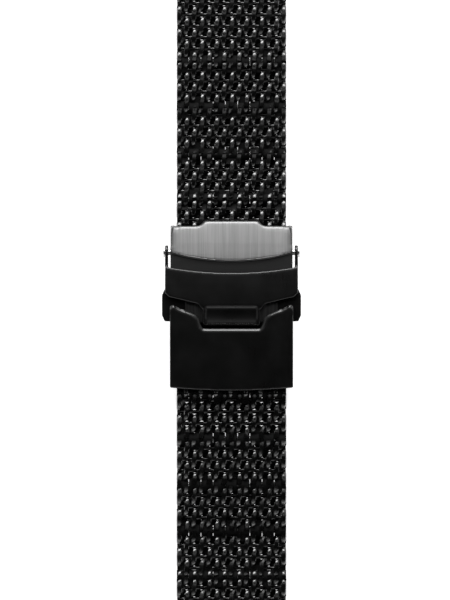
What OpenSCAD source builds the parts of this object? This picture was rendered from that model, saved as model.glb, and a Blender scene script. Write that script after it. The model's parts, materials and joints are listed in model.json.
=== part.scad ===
// Mesh watch band with pinned mesh links and a fold-over safety clasp.
// It lies on its back: X runs across the strap, Y along it, and Z up through the clasp's face.
// The band rests on Z = 0, with X = 0 and Y = 0 in the middle of its length.

/* [Strap] */
// Width of the mesh, which is the gap between the watch's lugs
strap_w = 20; // [18:0.5:24]
// Thickness of the mesh
strap_t = 3; // [2.8:0.1:3.2]
// Distance from one row of coils to the next
row_pitch = 2.09; // [1.9:0.01:2.4]
// Rows of coils in one removable link
link_rows = 4; // [3:1:5]
// Removable links between the clasp and the 12 o'clock strap
upper_links = 4; // [2:1:5]
// Removable links between the clasp and the 6 o'clock strap, the first one inside the cover
lower_links = 5; // [3:1:6]
// Rows of coils in the 12 o'clock strap
upper_rows = 18; // [8:1:24]
// Rows of coils in the 6 o'clock strap
lower_rows = 17; // [8:1:24]
// Largest angle between two neighbouring links, bent down round the wrist
bend_limit = 28; // [24:1:36]
// Largest angle between two neighbouring links, bent back
back_limit = 12; // [9:1:24]
// Slope at which the mesh comes down from the clasp
exit_slope = 6; // [4:0.5:7]
// Slope of the first link that leaves the cover
leave_slope = 2; // [0:0.5:6]

/* [Link pins] */
// Diameter of the pins between the links
link_pin_d = 1; // [0.8:0.05:1.1]
// Outer diameter of the loops round those pins
knuckle_d = 2.3; // [2:0.05:2.4]
// Loops along one joint, counted over both links
knuckles = 9; // [5:2:13]

/* [Spring bars] */
// Diameter of a spring bar's barrel
bar_d = 1.8; // [1.5:0.05:1.9]
// Diameter of a spring bar's tips, which enter the watch's lugs
tip_d = 0.8; // [0.7:0.05:0.9]
// How far a tip stands out of its barrel
tip_out = 1.5; // [1.3:0.05:1.55]
// Travel of a tip into its barrel
tip_travel = 1; // [0.7:0.05:1.1]

/* [Clasp] */
// Radius of the arch that the clasp is bent to
arch_r = 90; // [75:1:140]
// Thickness of the two folding blades
blade_t = 0.8; // [0.7:0.05:0.9]
// How far the edges of the two folding blades lie inside the mesh's edges
blade_inset = 2; // [1.5:0.1:4]
// Diameter of the clasp's hinge pins
hinge_pin_d = 1; // [0.8:0.05:1.1]
// Length of the end housing, from its straight top edge to the push buttons
housing_len = 11.2; // [10:0.1:13]
// Length of the cover
cover_len = 15.2; // [14:0.1:17]
// Depth of the cover's notch for the flip lock's tongue
notch_len = 4.3; // [4.1:0.1:4.6]
// Sheet thickness of the cover and the end housing
sheet_t = 0.95; // [0.8:0.05:1.1]
// Height of the cover's face over the underside of the blades
clasp_h = 6.4; // [6.3:0.05:6.8]
// Distance between the cover's adjusting holes
adjust_pitch = 2.7; // [2.4:0.1:2.9]

/* [Flip lock] */
// Clearance between the flip lock's skirts and the end housing
lock_side = 0.4; // [0.3:0.05:0.6]
// Sheet thickness of the flip lock
lock_t = 0.6; // [0.5:0.05:0.7]
// Width of the flip lock's finger tongue
tongue_w = 10.3; // [8:0.1:12]
// Length of the tongue below the flip lock
tongue_len = 3.7; // [3:0.1:3.9]

/* [Push buttons] */
// Length of a button along the strap
button_len = 5.9; // [5:0.1:6.2]
// Height of a button
button_h = 2.4; // [2:0.1:2.6]
// How far a button stands out past the flip lock
button_out = 0.55; // [0.4:0.05:1.2]
// Travel of a button
button_travel = 0.8; // [0.5:0.05:0.85]

/* [Hidden] */
upper_link_names = [for (i = [1:upper_links]) str("upper_link_", i)];
upper_pin_names = [for (i = [1:upper_links]) str("upper_link_pin_", i)];
lower_link_names = [for (i = [1:lower_links]) str("lower_link_", i)];
lower_pin_names = [for (i = [1:lower_links]) str("lower_link_pin_", i)];
bar_places = ["upper_lug", "lower_lug", "adjusting"];
bar_names = [
    for (place = bar_places)
        for (piece = ["bar", "spring", "tip_left", "tip_right"]) str(place, "_", piece)
];

// Clearances
run = 0.03;      // radius of a bore over the pin that runs in it
gap = 0.15;      // between sheets and blades that pass each other
side = 0.25;     // between the mesh and the walls beside it
press = 0.05;    // between faces that lie on each other

// Facets of a small circle and of the clasp's arch
$fn = 48;
arch_fn = 720;

// Strap
link_pitch = link_rows * row_pitch;
row_start = 0.15;              // middle of the first row, from the pin
strand_w = 0.95;
strand_pitch = 2.7;            // between two strands of one row
strand_rise = 0.7;             // height of a strand over the sheet behind it
strand_slope = 1;
columns = 2 * round(strap_w / strand_pitch) + 1;
column_pitch = (strap_w - strand_w) / (columns - 1);
pin_r = link_pin_d / 2;
pin_inset = 0.2;
knuckle_r = knuckle_d / 2;
knuckle_w = strap_w / knuckles;
knuckle_gap = 0.1;
tube_r = strap_t / 2;

// Spring bars, whose barrels end inside the mesh
bar_r = bar_d / 2;
bar_inset = 0.4;
bar_len = strap_w - 2 * bar_inset;
tip_r = tip_d / 2;
bar_cap = 0.5;
bar_wall = 0.2;
plunger_r = bar_r - bar_wall;
plunger_step = 0.1;
plunger_len = 2;
plunger_out = bar_len / 2 - bar_cap - run;
plunger_in = plunger_out - plunger_len;
lug_gap = 0.1;                 // between the mesh and the watch's lugs
shoulder_r = plunger_r - plunger_step;
shoulder_out = strap_w / 2 + lug_gap;
tip_end = bar_len / 2 + tip_out;
bar_spring_r = plunger_r - press;

// Clasp, along Y from the middle of the clasp
hinge_pin_r = hinge_pin_d / 2;
hinge_wall = 0.5;
hinge_knuckle_r = hinge_pin_r + hinge_wall;
housing_top_y = 14.1;
housing_low_y = housing_top_y - housing_len;
housing_tab = 0.9;
housing_tab_w = 9.6;
housing_corner = 0.9;
housing_pin_in = 3.55;
housing_pin_y = housing_top_y - housing_pin_in;
lock_pin_in = 4.9;
lock_pin_y = housing_top_y - lock_pin_in;
recess_y = lock_pin_y + 2 * press;
recess_bow = 1.6;
blade_top_in = 1;
blade_top_y = lock_pin_y - blade_top_in;
frame_t = 0.5;
frame_rim = 0.1;
frame_len = button_len + 2 * frame_rim;
button_gap = 0.3;
button_y = housing_low_y - button_gap - press - button_len / 2;
frame_low_y = button_y - frame_len / 2;
cover_overlap = 0.2;
cover_front_y = button_y + cover_overlap;
cover_low_y = cover_front_y - cover_len;
cover_bow = 0.5;
cover_corner = 0.4;
horn_drop = 1.7;
horn_w = 0.7;
notch_curl = 0.5;
tongue_gap = 0.45;
notch_y = cover_front_y - notch_len;
lock_arm_r = 1.3;
lock_top_y = lock_pin_y - 2 * lock_arm_r;
lock_bow = 1.1;
lock_corner = 0.8;
lock_flare = 1.1;
lock_arm_lap = 0.5;
lock_rise = 1.3;
lock_low_y = cover_front_y + lock_rise;
lock_shoulder = 0.2;
lock_shoulder_y = cover_front_y - lock_shoulder;
tongue_y = lock_shoulder_y - tongue_len;
tongue_corner = 0.3;
tongue_drop = 0.75;
hook_len = 0.7;
hook_y = frame_low_y - press - hook_len / 2;
cover_hinge_y = min(hook_y - hook_len / 2 + 2 * gap, tongue_y - gap) - hinge_knuckle_r;
adjust_y = cover_hinge_y - hinge_knuckle_r - tube_r - 2 * gap;
cover_wall_in = 0.3;
knee_y = cover_low_y + cover_wall_in;

// Clasp, as levels over the underside of the blades
inner_level = 0;
middle_level = blade_t + gap;
knee_level = (middle_level + blade_t) / 2;
cover_hinge_level = blade_t + gap + hinge_knuckle_r;
roof_level = clasp_h - sheet_t;
adjust_level = (knee_level + hinge_knuckle_r + roof_level) / 2;
floor_level = blade_t + press;
floor_t = 0.7;
cover_wall_level = 0.5;
housing_drop = 0.4;
housing_face = clasp_h - housing_drop;
housing_step = 0.55;
housing_swell = 0.25;
housing_roof_t = sheet_t + housing_swell;
housing_pin_level = floor_level + tube_r + 2 * press;
lock_pin_rise = 1.7;
lock_pin_level = housing_pin_level + lock_pin_rise;
lock_level = housing_face - housing_step + gap;
frame_level = blade_t + press;
frame_top = frame_level + button_h + 2 * frame_t + 2 * press;
button_level = frame_level + frame_t + press + button_h / 2;

// Clasp, across X
cover_in = strap_w + 2 * side;
cover_w = cover_in + 2 * sheet_t;
housing_inset = 0.1;
housing_w = cover_w - 2 * housing_inset;
lock_in = housing_w + 2 * lock_side;
lock_w = lock_in + 2 * lock_t;
lock_head = 0.25;
lock_head_r = 0.85;
blade_w = strap_w - 2 * blade_inset;
frame_side = 0.4;
frame_w = blade_w + 2 * frame_side;
hinge_leaf_w = 6;
rivet_r = 0.6;
rivet_head_r = 1;
rivet_head = 0.25;
housing_rivet_x = 5;
frame_rivet_x = 2.6;
rivet_at = [
    for (x = [-housing_rivet_x, housing_rivet_x]) [x, (housing_low_y + blade_top_y) / 2],
    for (x = [-frame_rivet_x, frame_rivet_x]) [x, button_y]
];

// Push buttons, across X from the middle
button_span = lock_w + 2 * button_out;
slider_len = frame_len - 2 * frame_t - 2 * press;
slider_in = 5.8;
hook_h = 0.8;
hook_in = frame_w / 2 + button_travel + gap;
hook_out = cover_in / 2 - press;
button_cap_in = hook_out + gap;
button_corner = [0.5, 1.1];
button_wall = 1.6;
spring_pocket = button_cap_in - button_wall;
button_spring_r = 0.95;
button_spring_wall = 0.4;

// Arch of the clasp
arch_y = (housing_top_y + knee_y) / 2;
function sag(y) = arch_r - sqrt(arch_r * arch_r - (y - arch_y) * (y - arch_y));
crown_z = sag(knee_y) + hinge_knuckle_r - knee_level;
function height(y, level) = crown_z + level - sag(y);

// Places of the hinge lines as [y, z]
mesh_z = strap_t / 2;
knee_at = [knee_y, height(knee_y, knee_level)];
cover_hinge_at = [cover_hinge_y, height(cover_hinge_y, cover_hinge_level)];
lock_pin_at = [lock_pin_y, height(lock_pin_y, lock_pin_level)];
housing_pin_at = [housing_pin_y, height(housing_pin_y, housing_pin_level)];
adjust_at = [adjust_y, height(adjust_y, adjust_level)];

// Link pins run out from the clasp and come down to the ground at the exit slope
function next_pin(at, way, slope) =
    let (a = min(slope, asin((at[1] - mesh_z) / link_pitch)))
    [at[0] + way * link_pitch * cos(a), at[1] - link_pitch * sin(a)];
function pin_at(first, way, i) = i == 0 ? first : next_pin(pin_at(first, way, i - 1), way, exit_slope);
upper_pins = [for (i = [0:upper_links]) pin_at(housing_pin_at, 1, i)];

// The first lower link follows the cover's arch, and the rest come down past the link that leaves it
covered_drop = height(adjust_y, adjust_level) - height(adjust_y - link_pitch, adjust_level);
covered_slope = asin(covered_drop / link_pitch);
covered_pin = adjust_at - link_pitch * [cos(covered_slope), sin(covered_slope)];
leaving_pin = next_pin(covered_pin, -1, leave_slope);
lower_pins = concat([adjust_at, covered_pin], [for (i = [0:lower_links - 2]) pin_at(leaving_pin, -1, i)]);
function slope_between(a, b) = atan2(b[1] - a[1], abs(b[0] - a[0]));

upper_strap_len = upper_rows * row_pitch;
lower_strap_len = lower_rows * row_pitch;
upper_lug_at = [upper_pins[upper_links][0] + upper_strap_len, mesh_z];
lower_lug_at = [lower_pins[lower_links][0] - lower_strap_len, mesh_z];

// The clasp stands off the middle of the band's length by this much
clasp_y = -(upper_lug_at[0] + lower_lug_at[0]) / 2;

black = "#1b1b1d";
satin_black = "#161617";
brushed = "#8b8b8d";
steel = "#b8b8ba";

// Helpers: a profile drawn in Y and Z and swept across X, and a round bar across X
module across(w) {
    rotate([90, 0, 90])
        linear_extrude(w, center = true)
            children();
}

module bar_across(r, w) {
    rotate([0, 90, 0])
        cylinder(r = r, h = w, center = true);
}

module on_band(at) {
    translate([0, clasp_y + at[0], at[1]])
        children();
}

module clasp_place() {
    translate([0, clasp_y, 0])
        children();
}

module both_sides(x) {
    for (s = [-1, 1])
        translate([s * x, 0, 0])
            children();
}

// A strip of the arch between two levels and two places along Y
module arch_strip(low, high, y0, y1) {
    intersection() {
        translate([arch_y, crown_z - arch_r])
            difference() {
                circle(arch_r + high, $fn = arch_fn);
                circle(arch_r + low, $fn = arch_fn);
            }
        translate([y0, -clasp_h])
            square([y1 - y0, 4 * clasp_h]);
    }
}

module plan(points) {
    translate([0, 0, -clasp_h])
        linear_extrude(4 * clasp_h)
            polygon(points);
}

// An edge across the clasp that bows from its sides to its middle, from left to right
bow_steps = 16;
function bow(half, y_side, y_mid) = [
    for (i = [0:bow_steps])
        let (x = -half + 2 * half * i / bow_steps)
        [x, y_mid + (y_side - y_mid) * pow(x / half, 2)]
];

// A soft step between two points, as the right-hand half of a symmetrical edge
step_steps = 6;
function soft_step(a, b) = [
    for (i = [0:step_steps])
        let (t = i / step_steps)
        [a[0] + (b[0] - a[0]) * t, a[1] + (b[1] - a[1]) * (3 - 2 * t) * t * t]
];
function mirrored(points) = [
    for (i = [len(points) - 1:-1:0]) [-points[i][0], points[i][1]]
];

// Mesh: columns of upright strands, each over two rows, with loops round the pins at the ends
module mesh_side(length) {
    low_wedge = tube_r * tan(bend_limit / 2);
    top_wedge = tube_r * tan(back_limit / 2);
    polygon([
        [press, 0],
        [press + top_wedge, strap_t / 2],
        [length - press - top_wedge, strap_t / 2],
        [length - press, 0],
        [length - press - low_wedge, -strap_t / 2],
        [press + low_wedge, -strap_t / 2],
    ]);
}

module strand() {
    half = row_pitch;
    polygon([
        [-half, 0],
        [-half + strand_slope, strap_t / 2],
        [half - strand_slope, strap_t / 2],
        [half, 0],
        [half - strand_slope, -strap_t / 2],
        [-half + strand_slope, -strap_t / 2],
    ]);
}

// The strands of every second row start in the first column, those of the other rows in the next
module mesh_column(rows, odd) {
    intersection() {
        mesh_side(rows * row_pitch);
        for (i = [odd - 2:2:rows + 1])
            translate([row_start + i * row_pitch, 0])
                strand();
    }
}

module mesh_rows(rows, first) {
    across(strap_w)
        intersection() {
            mesh_side(rows * row_pitch);
            translate([0, strand_rise - strap_t / 2])
                square([rows * row_pitch, strap_t - 2 * strand_rise]);
        }
    for (i = [0:columns - 1])
        translate([column_pitch * i - (strap_w - strand_w) / 2, 0, 0])
            across(strand_w)
                mesh_column(rows, (first + i) % 2);
}

// Every second loop of a joint, from loop first
module loops(first, r, spare) {
    for (i = [first:2:knuckles - 1])
        translate([-strap_w / 2 + knuckle_w * (i + 0.5), 0, 0])
            bar_across(r, knuckle_w - knuckle_gap + 2 * spare);
}

module pin_end(first) {
    difference() {
        union() {
            difference() {
                children();
                loops(1 - first, knuckle_r + knuckle_gap, knuckle_gap);
            }
            loops(first, knuckle_r, 0);
        }
        bar_across(pin_r + run, strap_w + 1);
    }
}

module tube_end(bore_r) {
    difference() {
        union() {
            children();
            bar_across(tube_r, strap_w);
        }
        bar_across(bore_r, strap_w + 1);
    }
}

// The far end of a piece of mesh is built at the origin of its own end
module far_end(length) {
    translate([0, length, 0])
        children();
}

module mesh_link() {
    far_end(link_pitch)
        pin_end(0)
            translate([0, -link_pitch, 0])
                pin_end(1)
                    mesh_rows(link_rows, 0);
}

module first_link(bore_r) {
    far_end(link_pitch)
        pin_end(0)
            translate([0, -link_pitch, 0])
                tube_end(bore_r)
                    mesh_rows(link_rows, 0);
}

module mesh_strap(rows, first) {
    far_end(rows * row_pitch)
        tube_end(bar_r + run)
            translate([0, -rows * row_pitch, 0])
                pin_end(1)
                    mesh_rows(rows, first);
}

// A piece of mesh is drawn towards +Y and turned to run from pin a to pin b
module run_mesh(a, b) {
    on_band(a)
        mirror([0, b[0] < a[0] ? 1 : 0, 0])
            rotate([slope_between(a, b), 0, 0])
                children();
}

module upper_link(i) {
    color(black)
        run_mesh(upper_pins[i - 1], upper_pins[i])
            if (i == 1) first_link(pin_r + run);
            else mesh_link();
}

module lower_link(i) {
    color(black)
        run_mesh(lower_pins[i - 1], lower_pins[i])
            if (i == 1) first_link(bar_r + run);
            else mesh_link();
}

module upper_mesh_strap() {
    color(black)
        run_mesh(upper_pins[upper_links], upper_lug_at)
            mesh_strap(upper_rows, 0);
}

module lower_mesh_strap() {
    color(black)
        run_mesh(lower_pins[lower_links], lower_lug_at)
            mesh_strap(lower_rows, 1);
}

module link_pin(at) {
    color(steel)
        on_band(at)
            bar_across(pin_r, strap_w - 2 * pin_inset);
}

// Spring bars: a capped barrel, a spring, and a plunger with its tip at each end
module spring_bar(at) {
    color(steel)
        on_band(at)
            difference() {
                bar_across(bar_r, bar_len);
                bar_across(plunger_r + run, bar_len - 2 * bar_cap);
                bar_across(shoulder_r + run, bar_len + 1);
            }
}

module spring_bar_tip(at, s) {
    color(steel)
        on_band(at)
            for (stretch = [[plunger_r, plunger_out], [shoulder_r, shoulder_out], [tip_r, tip_end]])
                translate([s * (plunger_in + stretch[1]) / 2, 0, 0])
                    bar_across(stretch[0], stretch[1] - plunger_in);
}

module spring_bar_spring(at) {
    color(steel)
        on_band(at)
            difference() {
                bar_across(bar_spring_r, 2 * (plunger_in - tip_travel - run));
                bar_across(bar_spring_r / 2, bar_len);
            }
}

// End housing: a brushed plate with a stepped-down lower half, two walls and a floor
module housing_walls() {
    both_sides((housing_w - sheet_t) / 2)
        across(sheet_t)
            intersection() {
                arch_strip(-1, housing_face, housing_low_y, housing_top_y);
                square([4 * housing_len, 4 * clasp_h]);
            }
}

module housing_plate() {
    half = housing_w / 2;
    tab_half = housing_tab_w / 2;
    tab_y = housing_top_y + housing_tab;
    right_edge = concat(
        [[half, housing_low_y]],
        [[half, housing_top_y - housing_corner], [half - housing_corner, housing_top_y]],
        soft_step([tab_half + 1.3 * housing_tab, housing_top_y], [tab_half, tab_y])
    );
    intersection() {
        across(housing_w)
            arch_strip(housing_face - housing_roof_t, housing_face, housing_low_y, tab_y);
        plan(concat(right_edge, mirrored(right_edge)));
    }
}

module housing_recess() {
    intersection() {
        across(housing_w + 1)
            arch_strip(housing_face - housing_step, clasp_h + 1, housing_low_y - 1, housing_top_y);
        plan(concat(
            bow(housing_w / 2 + gap, recess_y, recess_y - recess_bow),
            [[housing_w, housing_low_y - 1], [-housing_w, housing_low_y - 1]]
        ));
    }
}

module rivet_holes() {
    for (at = rivet_at)
        translate([at[0], at[1], -clasp_h])
            cylinder(r = rivet_r + run, h = clasp_h + height(at[1], frame_level + frame_t + rivet_head));
}

module end_housing() {
    color(brushed)
        clasp_place()
            difference() {
                union() {
                    difference() {
                        union() {
                            housing_walls();
                            housing_plate();
                        }
                        housing_recess();
                    }
                    across(housing_w - sheet_t)
                        arch_strip(floor_level, floor_level + floor_t, housing_low_y, blade_top_y);
                }
                translate([0, lock_pin_at[0], lock_pin_at[1]])
                    bar_across(hinge_pin_r + run, 2 * housing_w);
                translate([0, housing_pin_at[0], housing_pin_at[1]])
                    bar_across(pin_r + run, 2 * housing_w);
                rivet_holes();
            }
}

module blade_rivets() {
    rivet_tops = [
        height(rivet_at[0][1], floor_level + floor_t),
        height(rivet_at[2][1], frame_level + frame_t)
    ];
    color(steel)
        clasp_place()
            for (i = [0:len(rivet_at) - 1]) {
                foot = height(rivet_at[i][1], inner_level) + press;
                top = rivet_tops[i < 2 ? 0 : 1] + press;
                translate([rivet_at[i][0], rivet_at[i][1], foot]) {
                    cylinder(r = rivet_r, h = top - foot);
                    translate([0, 0, top - foot])
                        cylinder(r = rivet_head_r, h = rivet_head);
                }
            }
}

module housing_pin() {
    color(steel)
        on_band(housing_pin_at)
            bar_across(pin_r, housing_w - 2 * press);
}

// Blades: the inner one under the clasp, the middle one folded back over it
module knee_bar(r, w) {
    translate([0, knee_at[0], knee_at[1]])
        bar_across(r, w);
}

module cover_hinge_bar(r, w) {
    translate([0, cover_hinge_at[0], cover_hinge_at[1]])
        bar_across(r, w);
}

module inner_blade() {
    color(steel)
        clasp_place()
            difference() {
                union() {
                    across(blade_w)
                        arch_strip(inner_level, blade_t, knee_y + hinge_knuckle_r + gap, blade_top_y);
                    across(hinge_leaf_w)
                        arch_strip(inner_level, blade_t, knee_y, blade_top_y);
                    knee_bar(hinge_knuckle_r, hinge_leaf_w);
                }
                knee_bar(hinge_pin_r + run, 2 * blade_w);
                rivet_holes();
            }
}

module middle_blade() {
    leaf_w = (blade_w - hinge_leaf_w) / 2 - gap;
    color(steel)
        clasp_place()
            difference() {
                union() {
                    across(blade_w)
                        arch_strip(
                            middle_level, middle_level + blade_t,
                            knee_y + hinge_knuckle_r + gap, cover_hinge_y
                        );
                    both_sides((blade_w - leaf_w) / 2) {
                        across(leaf_w)
                            arch_strip(
                                middle_level, middle_level + blade_t,
                                knee_y, cover_hinge_y
                            );
                        knee_bar(hinge_knuckle_r, leaf_w);
                    }
                    cover_hinge_bar(hinge_knuckle_r, blade_w);
                }
                knee_bar(hinge_pin_r + run, 2 * blade_w);
                cover_hinge_bar(hinge_pin_r + run, 2 * blade_w);
            }
}

module knee_pin() {
    color(steel)
        on_band(knee_at)
            bar_across(hinge_pin_r, blade_w - 2 * press);
}

module cover_hinge_pin() {
    color(steel)
        on_band(cover_hinge_at)
            bar_across(hinge_pin_r, cover_w - 2 * press);
}

// Cover: an arched roof with a notch for the tongue, and two walls notched round the buttons
module cover_plan() {
    half = cover_w / 2;
    notch_half = tongue_w / 2 + tongue_gap;
    horn_y = cover_front_y - horn_drop;
    front = concat(
        [[half, cover_front_y - cover_corner], [half - cover_corner, cover_front_y]],
        [[notch_half + notch_curl + horn_w, horn_y]],
        soft_step([notch_half + notch_curl, horn_y - cover_corner], [notch_half - notch_curl, notch_y])
    );
    plan(concat(front, mirrored(front), bow(half, cover_low_y, cover_low_y - cover_bow)));
}

module cover_walls() {
    ceiling = button_level + button_h / 2 + gap;
    hook_low = button_level - hook_h / 2 - gap;
    difference() {
        both_sides((cover_w - sheet_t) / 2)
            across(sheet_t)
                arch_strip(
                    cover_wall_level, clasp_h - sheet_t / 2,
                    cover_low_y + cover_wall_in, cover_front_y - cover_corner
                );
        across(2 * cover_w) {
            arch_strip(-1, ceiling, button_y - button_len / 2 - button_gap, cover_front_y + 1);
            arch_strip(hook_low, ceiling, hook_y - hook_len / 2 - gap, cover_front_y + 1);
        }
    }
}

module clasp_cover() {
    color(satin_black)
        clasp_place()
            difference() {
                union() {
                    intersection() {
                        across(cover_w)
                            arch_strip(roof_level, clasp_h, cover_low_y - cover_bow, cover_front_y);
                        cover_plan();
                    }
                    cover_walls();
                }
                cover_hinge_bar(hinge_pin_r + run, 2 * cover_w);
                for (y = [adjust_y, adjust_y - adjust_pitch, adjust_y - 2 * adjust_pitch])
                    translate([0, y, height(y, adjust_level)])
                        bar_across(tip_r + run, 2 * cover_w);
            }
}

// Latch: a tube across the blade in which both buttons slide, with a spring between them
module latch_frame() {
    z = height(button_y, frame_level);
    color(steel)
        clasp_place()
            translate([0, button_y, z])
                difference() {
                    translate([0, 0, (frame_top - frame_level) / 2])
                        cube([frame_w, frame_len, frame_top - frame_level], center = true);
                    translate([0, 0, (frame_top - frame_level) / 2])
                        cube(
                            [2 * frame_w, frame_len - 2 * frame_t, frame_top - frame_level - 2 * frame_t],
                            center = true
                        );
                    translate([0, -button_y, -z])
                        rivet_holes();
                }
}

// The right-hand button, with a hook behind the cover's wall
module button_shape() {
    out = button_span / 2;
    half_len = button_len / 2;
    difference() {
        union() {
            linear_extrude(button_h, center = true) {
                translate([slider_in, -slider_len / 2])
                    square([button_cap_in - slider_in + press, slider_len]);
                polygon([
                    [button_cap_in, -half_len],
                    [out - button_corner[0], -half_len],
                    [out, -half_len + button_corner[1]],
                    [out, half_len - button_corner[1]],
                    [out - button_corner[0], half_len],
                    [button_cap_in, half_len],
                ]);
            }
            translate([hook_in, hook_y - button_y - hook_len / 2, -hook_h / 2])
                cube([hook_out - hook_in, hook_len + 2 * frame_t, hook_h]);
        }
        translate([slider_in - 1, 0, 0])
            rotate([0, 90, 0])
                cylinder(r = button_spring_r + 2 * press, h = spring_pocket - slider_in + 1);
    }
}

module push_button(s) {
    color(satin_black)
        clasp_place()
            translate([0, button_y, height(button_y, button_level)])
                mirror([s < 0 ? 1 : 0, 0, 0])
                    button_shape();
}

module button_spring() {
    color(steel)
        clasp_place()
            translate([0, button_y, height(button_y, button_level)])
                difference() {
                    bar_across(button_spring_r, 2 * (spring_pocket - button_travel - run));
                    bar_across(button_spring_r - button_spring_wall, 4 * spring_pocket);
                }
}

// Flip lock: a plate with a tongue over the cover's notch, and two skirts on the pivot pin
module lock_plan() {
    half = lock_w / 2;
    tongue = tongue_w / 2;
    right_edge = concat(
        [[half, lock_low_y + lock_corner], [half - lock_corner, lock_low_y]],
        soft_step(
            [tongue + lock_flare, lock_shoulder_y + tongue_corner],
            [tongue, lock_shoulder_y - lock_corner]
        ),
        [[tongue, tongue_y + tongue_corner], [tongue - tongue_corner, tongue_y]]
    );
    plan(concat(bow(half, lock_top_y, lock_top_y - lock_bow), right_edge, mirrored(right_edge)));
}

module lock_tongue_cut() {
    bend_z = height(lock_shoulder_y, lock_level);
    across(2 * lock_w)
        polygon([
            [lock_shoulder_y, bend_z + lock_t],
            [tongue_y - 1, bend_z + lock_t - tongue_drop],
            [tongue_y - 1, bend_z + 4 * lock_t],
            [lock_shoulder_y, bend_z + 4 * lock_t],
        ]);
}

module flip_lock() {
    skirt_low = height(lock_pin_y, lock_pin_level) - lock_arm_r;
    button_top = height(button_y, button_level + button_h / 2) + gap;
    skirt_x = (lock_w - lock_t) / 2;
    plate_top = lock_level + lock_t;
    color(satin_black)
        clasp_place()
            difference() {
                union() {
                    intersection() {
                        across(lock_w)
                            arch_strip(lock_level - tongue_drop, plate_top, tongue_y - 1, lock_top_y);
                        lock_plan();
                    }
                    both_sides(skirt_x)
                        across(lock_t) {
                            intersection() {
                                arch_strip(-1, plate_top, lock_low_y + lock_corner, lock_top_y);
                                translate([lock_low_y, skirt_low])
                                    square([lock_top_y - lock_low_y, clasp_h]);
                            }
                            translate([lock_top_y - lock_arm_lap, skirt_low])
                                square([lock_pin_y - lock_top_y + lock_arm_lap, 2 * lock_arm_r]);
                            translate([lock_pin_at[0], lock_pin_at[1]])
                                circle(lock_arm_r);
                        }
                }
                lock_tongue_cut();
                across(lock_in)
                    arch_strip(-1, lock_level, lock_shoulder_y, lock_top_y + 1);
                across(2 * lock_w)
                    translate([tongue_y - 1, -1])
                        square([housing_low_y - tongue_y + 1, button_top + 1]);
                translate([0, lock_pin_at[0], lock_pin_at[1]])
                    bar_across(hinge_pin_r + run, 2 * lock_w);
            }
}

module flip_lock_pin() {
    color(steel)
        on_band(lock_pin_at) {
            bar_across(hinge_pin_r, lock_w + 2 * press);
            both_sides((lock_w + lock_head) / 2 + press)
                bar_across(lock_head_r, lock_head);
        }
}

end_housing();
inner_blade();
blade_rivets();
latch_frame();
push_button(-1);  // push_button_left
push_button(1);  // push_button_right
button_spring();
flip_lock();
flip_lock_pin();
housing_pin();
knee_pin();
middle_blade();
cover_hinge_pin();
clasp_cover();
for (i = [1:upper_links]) {
    upper_link(i);
    link_pin(upper_pins[i]);
}
upper_mesh_strap();
for (i = [1:lower_links]) {
    lower_link(i);
    link_pin(lower_pins[i]);
}
lower_mesh_strap();
bar_at = [upper_lug_at, lower_lug_at, adjust_at];
for (i = [0:2]) {
    spring_bar(bar_at[i]);
    spring_bar_spring(bar_at[i]);
    spring_bar_tip(bar_at[i], -1);
    spring_bar_tip(bar_at[i], 1);
}
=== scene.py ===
"""Looks of the mesh watch band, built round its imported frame.

The mesh becomes hooked coils of round wire, ground flat on both faces. The clasp's plates get rounded
edges, a serrated finger tongue and brushed or satin finishes, and the hidden springs are wound.
"""

import json
import logging
import math
from dataclasses import dataclass
from enum import Enum
from typing import Any, Callable, Iterable

import bmesh
import bpy
from mathutils import Matrix, Vector

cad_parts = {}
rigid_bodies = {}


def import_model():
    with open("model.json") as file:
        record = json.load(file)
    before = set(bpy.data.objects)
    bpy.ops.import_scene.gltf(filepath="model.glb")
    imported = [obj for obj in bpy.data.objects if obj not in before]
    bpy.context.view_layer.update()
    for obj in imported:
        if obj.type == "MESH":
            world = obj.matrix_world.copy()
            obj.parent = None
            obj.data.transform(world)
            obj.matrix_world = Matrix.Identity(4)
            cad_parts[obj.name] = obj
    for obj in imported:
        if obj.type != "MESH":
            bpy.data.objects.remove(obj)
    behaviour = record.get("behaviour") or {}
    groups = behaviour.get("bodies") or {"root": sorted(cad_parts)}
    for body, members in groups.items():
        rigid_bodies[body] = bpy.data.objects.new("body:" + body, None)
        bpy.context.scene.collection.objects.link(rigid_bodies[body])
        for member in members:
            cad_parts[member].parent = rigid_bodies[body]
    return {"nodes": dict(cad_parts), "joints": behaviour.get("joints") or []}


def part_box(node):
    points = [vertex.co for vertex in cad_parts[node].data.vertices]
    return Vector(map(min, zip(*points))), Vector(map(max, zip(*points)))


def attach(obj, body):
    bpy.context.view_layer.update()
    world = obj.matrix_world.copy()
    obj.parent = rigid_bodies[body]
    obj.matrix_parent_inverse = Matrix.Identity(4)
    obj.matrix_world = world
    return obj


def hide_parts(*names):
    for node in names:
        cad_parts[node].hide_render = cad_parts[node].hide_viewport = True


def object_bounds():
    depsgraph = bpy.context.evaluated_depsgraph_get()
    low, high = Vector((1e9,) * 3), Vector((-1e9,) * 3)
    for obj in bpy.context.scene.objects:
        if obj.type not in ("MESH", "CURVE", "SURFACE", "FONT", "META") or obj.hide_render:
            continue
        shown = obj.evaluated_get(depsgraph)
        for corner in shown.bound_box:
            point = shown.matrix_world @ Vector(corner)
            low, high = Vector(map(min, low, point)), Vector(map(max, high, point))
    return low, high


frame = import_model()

MM = 0.001
# Points nearer than this are one point
WELD = 0.002 * MM
# A face whose normal has more than this along an axis faces that way
FACING = 0.9
# Colour sockets of a Mix node, which share their names with its other kinds
MIX_FIRST = 6
MIX_SECOND = 7
MIX_RESULT = 2
CAD_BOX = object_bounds()

Object = bpy.types.Object
log = logging.getLogger("mesh_band")


class Slot(Enum):
    """The record's material slots."""

    MESH = "black_mesh"
    SATIN = "satin_black"
    BRUSHED = "brushed_grey"
    BLADE = "blade_steel"
    PIN = "pin_steel"


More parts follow.
